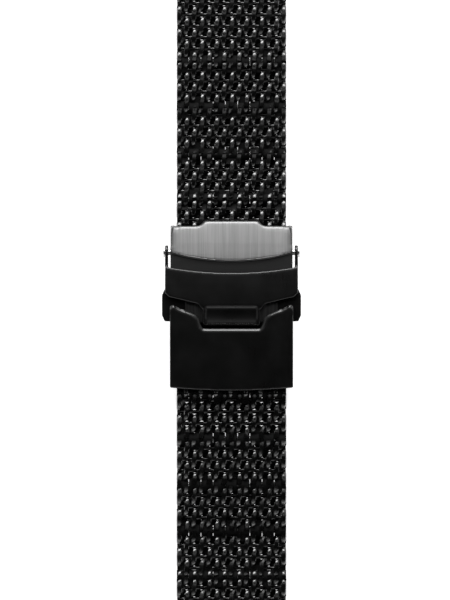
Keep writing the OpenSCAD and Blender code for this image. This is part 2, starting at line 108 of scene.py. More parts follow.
class Row(Enum):
    """The two kinds of coil row, by the number of strands on the face."""

    WIDE = 8
    NARROW = 7

    def other(self) -> "Row":
        """Returns the kind that follows this one."""
        return Row.NARROW if self is Row.WIDE else Row.WIDE


class Joined(Enum):
    """How a length of mesh ends."""

    PINNED = "pinned"
    TUBE = "tube"


# Shader maths

class Term:
    """A socket that takes part in arithmetic, each operation adding one Math node."""

    def __init__(self, graph: "Graph", socket: bpy.types.NodeSocket) -> None:
        """Wraps a socket.

        Args:
            graph: the node tree's graph.
            socket: an output socket of a node in it.
        """
        self.graph = graph
        self.socket = socket

    def _math(self, operation: str, first: Any, second: Any = 0.0) -> "Term":
        """Adds a Math node.

        Args:
            operation: the node's operation.
            first: its first value or term.
            second: its second value or term.

        Returns:
            The node's result.
        """
        return self.graph.node("ShaderNodeMath", {"operation": operation}, {0: first, 1: second})

    def __add__(self, other: Any) -> "Term":
        """Returns self + other."""
        return self._math("ADD", self, other)

    def __radd__(self, other: Any) -> "Term":
        """Returns other + self."""
        return self._math("ADD", other, self)

    def __sub__(self, other: Any) -> "Term":
        """Returns self - other."""
        return self._math("SUBTRACT", self, other)

    def __rsub__(self, other: Any) -> "Term":
        """Returns other - self."""
        return self._math("SUBTRACT", other, self)

    def __mul__(self, other: Any) -> "Term":
        """Returns self * other."""
        return self._math("MULTIPLY", self, other)

    def __rmul__(self, other: Any) -> "Term":
        """Returns other * self."""
        return self._math("MULTIPLY", other, self)

    def above(self, low: float, high: float) -> "Term":
        """Rises smoothly from 0 to 1.

        Args:
            low: the value at which it leaves 0.
            high: the value at which it reaches 1.

        Returns:
            The smooth step.
        """
        return self.graph.node(
            "ShaderNodeMapRange",
            {"interpolation_type": "SMOOTHSTEP"},
            {"Value": self, "From Min": low, "From Max": high},
        )


class Graph:
    """The node tree of one material or of the world."""

    def __init__(self, owner: Any) -> None:
        """Starts an empty tree.

        Args:
            owner: a material or a world.
        """
        owner.use_nodes = True
        self.tree = owner.node_tree
        self.tree.nodes.clear()

    def node(self, kind: str, settings: dict[str, Any], sockets: dict[Any, Any], out: Any = 0) -> Term:
        """Adds a node.

        Args:
            kind: the node's type.
            settings: its properties, set before its sockets.
            sockets: the value or the term for each input, by name or number.
            out: the output that is returned, by name or number.

        Returns:
            The output as a term.
        """
        made = self.tree.nodes.new(kind)
        for name, value in settings.items():
            setattr(made, name, value)
        for name, value in sockets.items():
            if isinstance(value, Term):
                self.tree.links.new(value.socket, made.inputs[name])
            else:
                made.inputs[name].default_value = value
        if not len(made.outputs):
            return Term(self, made.inputs[0])
        return Term(self, made.outputs[out])

    def place(self, stretch: tuple[float, float, float]) -> Term:
        """Gives the point in millimetres on the object, stretched along its axes.

        Args:
            stretch: pattern units for each millimetre along X, Y and Z.

        Returns:
            The stretched point.
        """
        point = self.node("ShaderNodeTexCoord", {}, {}, "Object")
        scale = tuple(s / MM for s in stretch)
        return self.node("ShaderNodeVectorMath", {"operation": "MULTIPLY"}, {0: point, 1: scale})

    def noise(self, stretch: tuple[float, float, float], detail: float = 2.0) -> Term:
        """Adds smooth noise, 0 to 1 with its middle at one half.

        Args:
            stretch: cycles for each millimetre along X, Y and Z.
            detail: octaves of finer noise.

        Returns:
            The noise.
        """
        return self.node(
            "ShaderNodeTexNoise", {}, {"Vector": self.place(stretch), "Scale": 1.0, "Detail": detail}
        )

    def mix(self, share: Any, first: Any, second: Any) -> Term:
        """Mixes two colours.

        Args:
            share: how much of the second colour shows.
            first: the first colour.
            second: the second colour.

        Returns:
            The mixed colour.
        """
        return self.node(
            "ShaderNodeMix",
            {"data_type": "RGBA"},
            {"Factor": share, MIX_FIRST: first, MIX_SECOND: second},
            MIX_RESULT,
        )

    def bump(self, height: Term, relief: tuple[float, float]) -> Term:
        """Turns a height into a normal.

        Args:
            height: the height, 0 to 1.
            relief: the share of the bump that shows and the depth of a full step in millimetres.

        Returns:
            The normal.
        """
        strength, step = relief
        sockets = {"Height": height, "Strength": strength, "Distance": step * MM}
        return self.node("ShaderNodeBump", {}, sockets)

    def surface(self, sockets: dict[str, Any]) -> None:
        """Ends the material with a Principled shader.

        Args:
            sockets: the shader's values and links.
        """
        shader = self.node("ShaderNodeBsdfPrincipled", {}, sockets)
        self.node("ShaderNodeOutputMaterial", {}, {"Surface": shader})


def grey(level: float, warmth: float = 0.0) -> tuple[float, float, float, float]:
    """Gives a nearly neutral colour.

    Args:
        level: its linear level.
        warmth: the share by which red is raised and blue lowered.

    Returns:
        The colour with full alpha.
    """
    return (level * (1 + warmth), level, level * (1 - warmth), 1.0)


# Finishes, whose patterns are in cycles for each millimetre along X, Y and Z

@dataclass(frozen=True)
class CoatedWire:
    """Gloss black coating on drawn wire, lapped on both faces of the mesh, with painted shade far inside
    it, where a dark diffuse shader stands in for the shade.
    """

    slot: Slot = Slot.MESH
    dark: float = 0.002
    worn: float = 0.006
    worn_warmth: float = 0.02
    # Grey of the painted shade far inside the mesh and round its pins, and the mark's values over which
    # it fades in
    painted_shade_grey: float = 0.010
    painted_shade_edges: tuple[float, float] = (0.1, 0.9)
    gloss: float = 0.20
    flat_gloss: float = 0.14
    draw_lines: tuple[float, float, float] = (9.0, 9.0, 9.0)
    lap_lines: tuple[float, float, float] = (14.0, 0.8, 0.8)
    clouds: tuple[float, float, float] = (0.5, 0.5, 0.5)
    cloud_edges: tuple[float, float] = (0.45, 0.75)
    cloud_wear: float = 0.5
    lap_wear: float = 0.2
    line_spread: float = 0.06
    cloud_spread: float = 0.05
    lapping: float = 0.3
    relief: tuple[float, float] = (0.25, 0.012)

    def material(self) -> bpy.types.Material:
        """Returns the finished material."""
        made = bpy.data.materials.new(self.slot.value + "_finish")
        graph = Graph(made)
        flat = graph.node("ShaderNodeAttribute", {"attribute_name": "flat"}, {}, "Fac")
        cloud = graph.noise(self.clouds, detail=3.0)
        lines = graph.noise(self.draw_lines)
        lapped = graph.noise(self.lap_lines)
        wear = cloud.above(*self.cloud_edges) * self.cloud_wear * (1 - flat)
        wear += flat * self.lap_wear * lapped
        gloss = self.gloss + flat * (self.flat_gloss - self.gloss)
        gloss += lines * self.line_spread + cloud * self.cloud_spread
        coat_and_shade = graph.node("ShaderNodeBsdfPrincipled", {}, {
            "Base Color": graph.mix(wear, grey(self.dark), grey(self.worn, self.worn_warmth)),
            "Roughness": gloss,
            "Normal": graph.bump(lines * (1 - flat) + lapped * flat * self.lapping, self.relief),
        })
        # Painted shade: far inside the mesh and round the pins, a dark diffuse shader takes the place of
        # the glossy coating
        inside = graph.node("ShaderNodeBsdfDiffuse", {}, {"Color": grey(self.painted_shade_grey)})
        painted_shade = graph.node("ShaderNodeAttribute", {"attribute_name": "painted_shade"}, {}, "Fac")
        share = painted_shade.above(*self.painted_shade_edges)
        shader = graph.node("ShaderNodeMixShader", {}, {0: share, 1: coat_and_shade, 2: inside})
        graph.node("ShaderNodeOutputMaterial", {}, {"Surface": shader})
        return made


@dataclass(frozen=True)
class SatinCoat:
    """Satin black coating on formed sheet, finely blasted and slightly rubbed."""

    slot: Slot = Slot.SATIN
    dark: float = 0.002
    rubbed: float = 0.004
    gloss: float = 0.32
    shine: float = 0.3
    grain: tuple[float, float, float] = (11.0, 11.0, 11.0)
    hairs: tuple[float, float, float] = (7.0, 0.25, 0.6)
    clouds: tuple[float, float, float] = (0.22, 0.22, 0.22)
    cloud_edges: tuple[float, float] = (0.35, 0.8)
    cloud_rub: float = 0.7
    cloud_spread: float = 0.16
    hair_spread: float = 0.12
    grain_height: float = 0.7
    hair_height: float = 0.5
    relief: tuple[float, float] = (0.3, 0.010)

    def material(self) -> bpy.types.Material:
        """Returns the finished material."""
        made = bpy.data.materials.new(self.slot.value + "_finish")
        graph = Graph(made)
        grain = graph.noise(self.grain)
        hair = graph.noise(self.hairs)
        cloud = graph.noise(self.clouds, detail=3.0)
        rub = cloud.above(*self.cloud_edges) * self.cloud_rub
        spread = (cloud - 0.5) * self.cloud_spread + (hair - 0.5) * self.hair_spread
        graph.surface({
            "Base Color": graph.mix(rub, grey(self.dark), grey(self.rubbed)),
            "Specular IOR Level": self.shine,
            "Roughness": spread + self.gloss,
            "Normal": graph.bump(grain * self.grain_height + hair * self.hair_height, self.relief),
        })
        return made


@dataclass(frozen=True)
class BrushedSteel:
    """Bare steel with brush lines along the band, which turns into a dark dielectric where a piece marks
    painted shade.
    """

    slot: Slot = Slot.BRUSHED
    dark: float = 0.36
    bright: float = 0.52
    gloss: float = 0.34
    lines: float = 14.0
    # Grey of the painted shade that a piece may mark on the steel
    coat_and_shade: float = 0.004
    line_run: tuple[float, float] = (0.10, 0.5)
    line_edges: tuple[float, float] = (0.3, 0.7)
    line_share: float = 0.6
    streaks: tuple[float, float, float] = (2.2, 0.05, 0.2)
    streak_edges: tuple[float, float] = (0.35, 0.7)
    streak_share: float = 0.4
    spread: float = 0.25
    relief: tuple[float, float] = (0.35, 0.010)

    def material(self) -> bpy.types.Material:
        """Returns the finished material."""
        made = bpy.data.materials.new(self.slot.value + "_finish")
        graph = Graph(made)
        brush = graph.noise((self.lines, *self.line_run), detail=3.0)
        streak = graph.noise(self.streaks)
        share = brush.above(*self.line_edges) * self.line_share
        share += streak.above(*self.streak_edges) * self.streak_share
        steel = graph.mix(share, grey(self.dark), grey(self.bright))
        # Painted shade: where the piece marks it, the steel becomes black and loses its shine and brush
        # lines
        plate_shade = graph.node("ShaderNodeAttribute", {"attribute_name": "plate_shade"}, {}, "Fac")
        graph.surface({
            "Base Color": graph.mix(plate_shade, steel, grey(self.coat_and_shade)),
            "Metallic": 1 - plate_shade,
            "Roughness": self.gloss + (brush - 0.5) * self.spread * (1 - plate_shade),
            "Normal": graph.bump(brush * (1 - plate_shade), self.relief),
        })
        return made


@dataclass(frozen=True)
class TurnedSteel:
    """Bright steel pins with fine rings from the lathe."""

    slot: Slot = Slot.PIN
    dark: float = 0.30
    bright: float = 0.46
    gloss: float = 0.28
    rings: tuple[float, float, float] = (14.0, 0.3, 0.3)
    spread: float = 0.2
    relief: tuple[float, float] = (0.3, 0.008)

    def material(self) -> bpy.types.Material:
        """Returns the finished material."""
        made = bpy.data.materials.new(self.slot.value + "_finish")
        graph = Graph(made)
        rings = graph.noise(self.rings)
        graph.surface({
            "Base Color": graph.mix(rings, grey(self.dark), grey(self.bright)),
            "Metallic": 1.0,
            "Roughness": self.gloss + (rings - 0.5) * self.spread,
            "Normal": graph.bump(rings, self.relief),
        })
        return made


# Modelling

class Bench:
    """The workbench, where pieces are shaped with the operators that a hand would use."""

    @staticmethod
    def hold(*pieces: Object) -> Object:
        """Selects only these pieces.

        Args:
            pieces: the pieces, the first of which becomes active.

        Returns:
            The active piece.
        """
        bpy.ops.object.select_all(action="DESELECT")
        for piece in pieces:
            piece.select_set(True)
        bpy.context.view_layer.objects.active = pieces[0]
        return pieces[0]

    @staticmethod
    def copy(piece: Object, name: str, by: Matrix | None = None) -> Object:
        """Copies a piece with a mesh of its own.

        Args:
            piece: the piece.
            name: the copy's name.
            by: where the copy is moved to.

        Returns:
            The copy.
        """
        twin = bpy.data.objects.new(name, piece.data.copy())
        bpy.context.scene.collection.objects.link(twin)
        if by is not None:
            twin.data.transform(by)
        return twin

    @staticmethod
    def join(name: str, pieces: list[Object]) -> Object:
        """Joins pieces into one.

        Args:
            name: the joined piece's name.
            pieces: the pieces.

        Returns:
            The joined piece.
        """
        whole = Bench.hold(*pieces)
        bpy.ops.object.join()
        whole.name = name
        whole.data.name = name
        return whole

    @staticmethod
    def settle(piece: Object) -> Object:
        """Moves a piece's place into its mesh and returns the piece."""
        Bench.hold(piece)
        bpy.ops.object.transform_apply(location=True, rotation=True, scale=True)
        return piece

    @staticmethod
    def pick(piece: Object, test: Callable[[Vector, Vector], bool]) -> None:
        """Selects the faces that pass a test.

        Args:
            piece: the piece, held and out of edit mode.
            test: takes a face's centre and its normal.
        """
        Bench.hold(piece)
        mesh = piece.data
        mesh.vertices.foreach_set("select", [False] * len(mesh.vertices))
        mesh.edges.foreach_set("select", [False] * len(mesh.edges))
        mesh.polygons.foreach_set("select", [test(f.center, f.normal) for f in mesh.polygons])

    @staticmethod
    def edit(piece: Object, *steps: Callable[[], Any]) -> None:
        """Runs edit mode operators on the faces that are selected.

        Args:
            piece: the piece.
            steps: the operators, in order.
        """
        bpy.context.view_layer.objects.active = piece
        bpy.ops.object.mode_set(mode="EDIT")
        bpy.ops.mesh.select_mode(type="FACE")
        for step in steps:
            step()
        bpy.ops.object.mode_set(mode="OBJECT")

    @staticmethod
    def cut(piece: Object, at: Vector, away: Vector) -> None:
        """Cuts a piece with a plane and closes the cut.

        Args:
            piece: the piece.
            at: a point on the plane.
            away: the plane's normal, on the side that is dropped.
        """
        Bench.hold(piece)
        Bench.edit(
            piece,
            lambda: bpy.ops.mesh.select_all(action="SELECT"),
            lambda: bpy.ops.mesh.bisect(plane_co=at, plane_no=away, use_fill=True, clear_outer=True),
        )

    @staticmethod
    def modify(piece: Object, kind: str, **settings: Any) -> None:
        """Adds a modifier and applies it.

        Args:
            piece: the piece.
            kind: the modifier's type.
            settings: its properties.
        """
        Bench.hold(piece)
        made = piece.modifiers.new(kind.lower(), kind)
        for name, value in settings.items():
            setattr(made, name, value)
        bpy.ops.object.modifier_apply(modifier=made.name)

    @staticmethod
    def smooth(piece: Object, degrees: float) -> None:
        """Shades a piece smooth up to an angle.

        Args:
            piece: the piece.
            degrees: the sharpest angle that is still smooth.
        """
        Bench.hold(piece)
        bpy.ops.object.shade_smooth_by_angle(angle=math.radians(degrees))

    @staticmethod
    def rod(name: str, radius: float, low: Vector, high: Vector, sides: int = 24) -> Object:
        """Adds a round bar.

        Args:
            name: its name.
            radius: its radius in millimetres.
            low: the middle of one end.
            high: the middle of the other end.
            sides: facets round it.

        Returns:
            The bar.
        """
        way = high - low
        bpy.ops.mesh.primitive_cylinder_add(
            vertices=sides,
            radius=radius * MM,
            depth=way.length * MM,
            location=(low + high) / 2 * MM,
            rotation=way.to_track_quat("Z", "Y").to_euler(),
        )
        piece = bpy.context.object
        piece.name = name
        return Bench.settle(piece)

    @staticmethod
    def wire(name: str, points: Iterable[Vector], radius: float, sides: int) -> Object:
        """Bends a wire along points.

        Args:
            name: its name.
            points: the points of its centre line, in millimetres.
            radius: the wire's radius in millimetres.
            sides: facets round it, an even number from four.

        Returns:
            The wire as a closed mesh.
        """
        curve = bpy.data.curves.new(name, "CURVE")
        curve.dimensions = "3D"
        line = curve.splines.new("POLY")
        path = list(points)
        line.points.add(len(path) - 1)
        for place, point in zip(line.points, path):
            place.co = (*(point * MM), 1.0)
        curve.bevel_depth = radius * MM
        curve.bevel_resolution = (sides - 4) // 2
        curve.use_fill_caps = True
        piece = bpy.data.objects.new(name, curve)
        bpy.context.scene.collection.objects.link(piece)
        Bench.hold(piece)
        bpy.ops.object.convert(target="MESH")
        piece = bpy.context.object
        Bench.edit(
            piece,
            lambda: bpy.ops.mesh.select_all(action="SELECT"),
            lambda: bpy.ops.mesh.remove_doubles(threshold=WELD),
            lambda: bpy.ops.mesh.normals_make_consistent(inside=False),
        )
        return piece


# The mesh

@dataclass(frozen=True)
class Weave:
    """Rows wound of two wires, which hook into the rows above and below and are ground flat."""

    width: float = 20.0
    thickness: float = 3.0
    reach: float = 1.53
    depth: float = 1.24
    wire_r: float = 0.47
    upright: float = 1.19
    snap: float = 0.47
    rings: int = 20
    sides: int = 8
    slack: float = 0.02
    short_end: float = 0.3
    long_end: float = 0.7
    core_r: float = 0.36
    core_inset: float = 0.12
    core_sides: int = 12

    @property
    def strand_pitch(self) -> float:
        """Distance between two strands of a row."""
        return (self.width - 2 * self.wire_r) / Row.NARROW.value

    @property
    def edge(self) -> float:
        """Furthest that the wire's centre goes sideways."""
        return self.width / 2 - self.wire_r - self.slack

    def point(self, turn: float, start: float) -> Vector:
        """Finds a point of a wire's centre line.

        Args:
            turn: turns of the coil from the middle of its first strand on the face.
            start: that strand's place across the band.

        Returns:
            The point, the face being up.
        """
        angle = math.tau * turn
        bunch = self.upright / 2 * math.sin(2 * angle) - self.snap / 4 * math.sin(4 * angle)
        across = start + 2 * self.strand_pitch * (turn - bunch / math.tau)
        across = max(-self.edge, min(self.edge, across))
        return Vector((across, self.reach * math.sin(angle), self.depth * math.cos(angle)))

    def wire(self, kind: Row, which: int) -> Object:
        """Winds one of a row's two wires.

        Args:
            kind: the kind of row.
            which: 0 for the wire with the first strand and 1 for the one with the second.

        Returns:
            The wire.
        """
        low = -self.width / 2 + self.wire_r + (0 if kind is Row.WIDE else self.strand_pitch / 2)
        turns = (kind.value - 1 - which) // 2
        last = which + 2 * turns
        first_turn = -(self.long_end if which else self.short_end)
        last_turn = turns + (self.short_end if last == kind.value - 1 else self.long_end)
        steps = round((last_turn - first_turn) * self.rings)
        start = low + which * self.strand_pitch
        points = [
            self.point(first_turn + (last_turn - first_turn) * i / steps, start)
            for i in range(steps + 1)
        ]
        return Bench.wire("wire", points, self.wire_r, self.sides)

    def row(self, kind: Row) -> Object:
        """Winds one row round its core wire and grinds its faces flat.

        Args:
            kind: the kind of row.

        Returns:
            The row, lying along X.
        """
        half = self.width / 2 - self.core_inset
        ends = (Vector((-half, 0, 0)), Vector((half, 0, 0)))
        core = Bench.rod("core", self.core_r, *ends, self.core_sides)
        piece = Bench.join(kind.name.lower() + "_row", [self.wire(kind, 0), self.wire(kind, 1), core])
        for face in (1, -1):
            Bench.cut(piece, Vector((0, 0, face * self.thickness / 2 * MM)), Vector((0, 0, face)))
        return piece


@dataclass(frozen=True)
class Loops:
    """Round loops of one length of mesh on the pin that it shares with the next."""

    radius: float = 1.15
    bore: float = 0.53
    count: int = 9
    gap: float = 0.1
    web_t: float = 1.5
    web_out: float = 2.0
    web_inset: float = 0.2
    rim: float = 0.12

    def on_pin(self, weave: Weave, first: int, at: float, way: int) -> list[Object]:
        """Makes every second loop of a pin.

        Args:
            weave: the mesh that they belong to.
            first: the first loop's place, 0 or 1.
            at: the pin's place along the mesh.
            way: the side on which the mesh lies, 1 or -1.

        Returns:
            The loops, each with its web.
        """
        step = weave.width / self.count
        low = Vector((-weave.width / 2 + first * step + self.gap / 2, at, 0))
        loop = Bench.rod("loop", self.radius, low, low + Vector((step - self.gap, 0, 0)))
        Bench.pick(loop, lambda centre, normal: abs(normal.x) > FACING)
        Bench.edit(
            loop,
            lambda: bpy.ops.mesh.inset(thickness=(self.radius - self.bore) * MM),
            lambda: bpy.ops.mesh.bridge_edge_loops(),
        )
        web = self._web(low, step - self.gap, way)
        made = [Bench.join("loop", [loop, web])]
        for i in range(first + 2, self.count, 2):
            made.append(Bench.copy(made[0], "loop", Matrix.Translation(((i - first) * step * MM, 0, 0))))
        return made

    def _web(self, low: Vector, width: float, way: int) -> Object:
        """Makes the web between a loop and the coils.

        Args:
            low: the loop's axis at its left end.
            width: the loop's width.
            way: the side on which the mesh lies.

        Returns:
            The web.
        """
        inner = self.bore + self.rim
        bpy.ops.mesh.primitive_cube_add(
            size=MM,
            location=(low + Vector((width / 2, way * (inner + self.web_out) / 2, 0))) * MM,
            scale=(width - 2 * self.rim, self.web_out - inner, self.web_t),
        )
        web = Bench.settle(bpy.context.object)
        Bench.pick(web, lambda centre, normal: way * normal.y > FACING)
        Bench.edit(web, lambda: bpy.ops.mesh.inset(thickness=self.web_inset * MM))
        return web


@dataclass(frozen=True)
class MeshRun:
    """One length of mesh from a pin to the next: a removable link or a strap."""

    node: str
    body: str
    first: float
    pitch: float
    count: int
    kind: Row
    near: Joined = Joined.PINNED
    far: Joined = Joined.PINNED
    sideways: float = 0.0
    relief: float = 0.0

    top_wedge: float = 5.5
    low_wedge: float = 14.0
    cut_gap: float = 0.05
    pin_room: float = 1.2
    drill_sides: int = 32
    drill_share: float = 0.6
    tube_r: float = 1.5
    tube_lap: float = 0.55
    lug_bore: float = 0.93
    pin_bore: float = 0.53
    # Depth and distance aside out to which the painted shade reaches
    shine_depth: float = 0.95
    shine_edge: float = 9.5
    flat_tilt: float = 0.99
    flat_slack: float = 0.01
    crease: float = 35.0

    def build(
        self,
        weave: Weave,
        rows: dict[Row, Object],
        loops: Loops,
        finish: bpy.types.Material,
    ) -> Object:
        """Builds the length of mesh in its place.

        Args:
            weave: the coils' sizes.
            rows: one finished row of each kind.
            loops: the loops' sizes.
            finish: the mesh's material.

        Returns:
            The piece, riding on its body.
        """
        near, far = self._ends()
        along = (far - near).length
        pieces = []
        kind = self.kind
        for i in range(self.count):
            at = self.first + i * self.pitch
            shift = Matrix.Translation((self.sideways * MM, at * MM, 0))
            row = Bench.copy(rows[kind], "row", shift)
            if self.relief:
                under = Vector((0, 0, self.relief - weave.thickness / 2))
                Bench.cut(row, under * MM, Vector((0, 0, -1)))
            if at - 2 * weave.reach < 0:
                self._end_row(row, 0.0, -1, self.near)
            if at + 2 * weave.reach > along:
                self._end_row(row, along, 1, self.far)
            pieces.append(row)
            kind = kind.other()
        pieces += self._joints(weave, loops, along)
        piece = Bench.join(self.node + "_coils", pieces)
        self._mark(piece, weave, along)
        piece.data.transform(self._frame(near, far))
        Bench.smooth(piece, self.crease)
        dress(piece, finish)
        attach(piece, self.body)
        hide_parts(self.node)
        return piece

    def _ends(self) -> tuple[Vector, Vector]:
        """Returns the two ends' axes at the middle of the band, in millimetres."""
        placed = [joint for joint in frame["joints"] if joint.get("pos_m")]
        near = next(Vector(joint["pos_m"]) for joint in placed if joint["child"] == self.body)
        onward = [Vector(joint["pos_m"]) for joint in placed if joint["parent"] == self.body]
        if onward:
            return near / MM, onward[0] / MM
        low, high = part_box(self.node.replace("mesh_strap", "lug_bar"))
        far = (low + high) / 2
        far.x = 0
        return near / MM, far / MM

    def _frame(self, near: Vector, far: Vector) -> Matrix:
        """Finds the place of the mesh.

        Args:
            near: the near end's axis.
            far: the far end's axis.

        Returns:
            The matrix that lays the flat mesh between them.
        """
        along = (far - near).normalized()
        up = (Vector((0, 0, 1)) - along * along.z).normalized()
        turn = Matrix((along.cross(up), along, up)).transposed().to_4x4()
        return Matrix.Translation(near * MM) @ turn

    def _end_row(self, row: Object, at: float, way: int, joined: Joined) -> None:
        """Cuts an end row back and hollows it round the pin.

        Args:
            row: the row.
            at: the end's place along the mesh.
            way: 1 at the far end and -1 at the near one.
            joined: how this end is joined.
        """
        if joined is Joined.TUBE:
            inside = at - way * self.tube_r * self.tube_lap
            Bench.cut(row, Vector((0, inside, 0)) * MM, Vector((0, way, 0)))
            return
        for face, wedge in ((1, self.top_wedge), (-1, self.low_wedge)):
            lean = math.radians(wedge)
            Bench.cut(
                row,
                Vector((0, at - way * self.cut_gap, 0)) * MM,
                Vector((0, way * math.cos(lean), face * math.sin(lean))),
            )
        reach = self.drill_share * part_width()
        ends = (Vector((-reach, at, 0)), Vector((reach, at, 0)))
        drill = Bench.rod("drill", self.pin_room, *ends, self.drill_sides)
        if len(row.data.polygons):
            Bench.modify(row, "BOOLEAN", operation="DIFFERENCE", solver="MANIFOLD", object=drill)
        bpy.data.objects.remove(drill)

    def _joints(self, weave: Weave, loops: Loops, along: float) -> list[Object]:
        """Makes the loops or tube at both ends.

        Args:
            weave: the mesh.
            loops: the loops' sizes.
            along: the length of the mesh.

        Returns:
            The pieces to join to it.
        """
        made = []
        for joined, at, way, first in ((self.near, 0.0, 1, 1), (self.far, along, -1, 0)):
            if joined is Joined.PINNED:
                made += loops.on_pin(weave, first, at, way)
            else:
                bore = self.lug_bore if way < 0 else self.pin_bore
                tube = Loops(radius=self.tube_r, bore=bore, count=1, gap=0.0)
                made += tube.on_pin(weave, 0, at, way)
        return made

    def _mark(self, piece: Object, weave: Weave, along: float) -> None:
        """Marks the ground faces, and the painted shade far inside the mesh and round the pins, for the
        finish.

        Args:
            piece: the joined mesh, still lying flat.
            weave: the mesh's sizes.
            along: the length of the mesh.
        """
        level = (weave.thickness / 2 - self.flat_slack) * MM
        flat = piece.data.attributes.new("flat", "FLOAT", "CORNER")
        values = []
        for face in piece.data.polygons:
            ground = abs(face.normal.z) > self.flat_tilt and abs(face.center.z) > level
            values += [1.0 if ground else 0.0] * face.loop_total
        flat.data.foreach_set("value", values)
        painted_shade = piece.data.attributes.new("painted_shade", "FLOAT", "POINT")
        depths = [self._depth(corner.co / MM, along) for corner in piece.data.vertices]
        painted_shade.data.foreach_set("value", depths)

    def _depth(self, at: Vector, along: float) -> float:
        """Gives the painted shade at a point, from its depth inside the mesh and its nearness to a pin.

        Args:
            at: the point on the flat mesh.
            along: the length of the mesh.

        Returns:
            1 in the middle and round the pins, 0 from the depth at which the wires shine.
        """
        for joined, end in ((self.near, 0.0), (self.far, along)):
            if joined is Joined.PINNED and math.hypot(at.y - end, at.z) < self.pin_room:
                return 1.0
        if abs(at.x) > self.shine_edge:
            return 0.0
        return max(0.0, 1.0 - abs(at.z) / self.shine_depth)


def part_width() -> float:
    """Returns the whole part's width in millimetres."""
    low, high = (Vector(corner) for corner in CAD_BOX)
    return (high.x - low.x) / MM


# The clasp

@dataclass(frozen=True)
class Zone:
    """A part of a piece's box, each of whose sides runs from 0 to 1."""

    above: float
    beyond: float
    beside: float = 0.0
    within: float = 1.0

    def holds(self, at: Vector) -> bool:
        """Tells whether a place is high enough, far enough along and as far aside as it should be.

        Args:
            at: the place, from 0 to 1 along each side.

        Returns:
            Whether the zone holds it.
        """
        aside = abs(at.x - 0.5)
        return at.z > self.above and at.y > self.beyond and self.beside <= aside < self.within


WHOLE = Zone(-1.0, -1.0)


@dataclass(frozen=True)
class Polish:
    """Zones of a piece that are rounded over by polishing."""

    passes: int
    zones: tuple[Zone, ...]


@dataclass(frozen=True)
class Chamfer:
    """Sharp edges in a zone that are chamfered, apart from upright ones and those along the band."""

    width: float
    zone: Zone
    rise: float = 0.6
    run: float = 0.98
    sharpest: float = 40.0

    def takes(self, at: Vector, way: Vector) -> bool:
        """Tells whether an edge is chamfered.

        Args:
            at: the edge's place in the piece's box.
            way: its direction.

        Returns:
            Whether it is.
        """
        return self.zone.holds(at) and abs(way.z) < self.rise and abs(way.y) < self.run


@dataclass(frozen=True)
class FormedPiece:
    """A formed or machined piece of the clasp, with its edges polished round."""

    node: str
    body: str
    slot: Slot
    polishes: tuple[Polish, ...] = ()
    chamfers: tuple[Chamfer, ...] = ()
    grain: float = 0.14
    passes: int = 4
    rub: float = 0.5

    def build(self, finish: bpy.types.Material) -> Object:
        """Rounds the edges of the piece.

        Args:
            finish: its material.

        Returns:
            The piece, riding on its body.
        """
        piece = Bench.copy(frame["nodes"][self.node], self.node + "_formed")
        Bench.hold(piece)
        Bench.edit(
            piece,
            lambda: bpy.ops.mesh.select_all(action="SELECT"),
            lambda: bpy.ops.mesh.remove_doubles(threshold=WELD),
        )
        self.detail(piece)
        for chamfer in self.chamfers:
            self._chamfer(piece, chamfer)
        Bench.modify(piece, "REMESH", mode="VOXEL", voxel_size=self.grain * MM, use_smooth_shade=True)
        for polish in (Polish(self.passes, (WHOLE,)), *self.polishes):
            self._polish(piece, polish)
        piece = self.finish(piece)
        dress(piece, finish)
        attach(piece, self.body)
        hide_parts(self.node)
        return piece

    def detail(self, piece: Object) -> None:
        """Shapes the piece before it is polished; a plain piece has nothing more."""

    def finish(self, piece: Object) -> Object:
        """Adds what stays sharp; a plain piece has nothing more."""
        return piece

    def _chamfer(self, piece: Object, chamfer: Chamfer) -> None:
        """Chamfers the chosen edges.

        Args:
            piece: the piece.
            chamfer: its edges and their width.
        """
        low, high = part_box(self.node)
        shape = bmesh.new()
        shape.from_mesh(piece.data)
        weight = shape.edges.layers.float.new("bevel_weight_edge")
        for edge in shape.edges:
            if edge.calc_face_angle(0.0) > math.radians(chamfer.sharpest):
                start, end = (corner.co for corner in edge.verts)
                middle = (start + end) / 2
                place = Vector((middle[i] - low[i]) / (high[i] - low[i]) for i in range(3))
                edge[weight] = 1.0 if chamfer.takes(place, (end - start).normalized()) else 0.0
        shape.to_mesh(piece.data)
        shape.free()
        Bench.modify(
            piece,
            "BEVEL",
            width=chamfer.width * MM,
            segments=1,
            limit_method="WEIGHT",
            use_clamp_overlap=False,
        )

    def _polish(self, piece: Object, polish: Polish) -> None:
        """Rounds over the chosen part.

        Args:
            piece: the piece.
            polish: its place and the number of passes.
        """
        low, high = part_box(self.node)
        size = high - low
        chosen = []
        for corner in piece.data.vertices:
            at = Vector((corner.co[i] - low[i]) / size[i] for i in range(3))
            if any(zone.holds(at) for zone in polish.zones):
                chosen.append(corner.index)
        group = piece.vertex_groups.new(name="polish")
        group.add(chosen, 1.0, "REPLACE")
        Bench.modify(piece, "SMOOTH", factor=self.rub, iterations=polish.passes, vertex_group="polish")
        piece.vertex_groups.clear()


